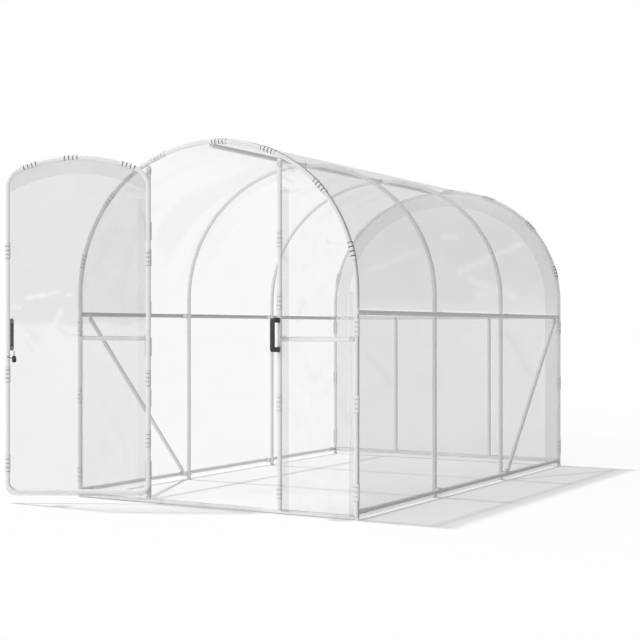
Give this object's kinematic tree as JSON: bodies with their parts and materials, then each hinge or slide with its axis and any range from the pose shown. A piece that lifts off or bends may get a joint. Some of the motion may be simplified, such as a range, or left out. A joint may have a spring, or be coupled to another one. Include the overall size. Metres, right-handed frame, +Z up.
{
  "type": "polytunnel greenhouse",
  "caption": "Walk-in garden polytunnel: arched white tube hoops under clear film, with a film-covered hinged door in the front wall.",
  "frame": {"origin": "on the ground at the middle of the whole outline, with the door open as built", "axes": "+Y along the tunnel from the door end to the rear, +X to the right seen from the door end, +Z up"},
  "size_m": [2.0592, 3.4312, 2.0023],
  "materials": {
    "white_tube": "white powder coat, satin",
    "clear_film": "clear polythene film, slightly hazy",
    "white_clip": "white moulded plastic",
    "black_handle": "black moulded plastic",
    "hinge_steel": "zinc plated steel"
  },
  "bodies": {
    "tunnel": {"front_hoop": "white_tube", "second_hoop": "white_tube", "third_hoop": "white_tube", "rear_hoop": "white_tube", "ridge_purlin": "white_tube", "left_purlin": "white_tube", "right_purlin": "white_tube", "left_base_rail": "white_tube", "right_base_rail": "white_tube", "front_sill": "white_tube", "left_door_jamb": "white_tube", "right_door_jamb": "white_tube", "front_left_rail": "white_tube", "front_right_rail": "white_tube", "rear_base_rail": "white_tube", "rear_mid_rail": "white_tube", "rear_posts": "white_tube", "front_left_brace": "white_tube", "rear_right_brace": "white_tube", "tunnel_cover": "clear_film", "front_left_panel": "clear_film", "front_right_panel": "clear_film", "rear_panel": "clear_film", "front_hoop_clips": "white_clip", "rear_hoop_clips": "white_clip", "left_jamb_clips": "white_clip", "right_jamb_clips": "white_clip", "cross_clamps": "white_clip", "jamb_handle": "black_handle", "jamb_hinges": "hinge_steel"},
    "door": {"door_stiles": "white_tube", "door_top_rail": "white_tube", "door_corners": "white_tube", "door_bottom_rail": "white_tube", "door_film": "clear_film", "door_clips": "white_clip", "door_handle": "black_handle", "door_latch": "black_handle", "door_hinges": "hinge_steel"}
  },
  "joints": [
    {"name": "door_hinge", "type": "hinge", "parent": "tunnel", "child": "door", "pos_m": [-0.28241, -1.31844, 0.87], "axis": [0, 0, -1], "range_deg": [-152.8, 27.2]}
  ]
}
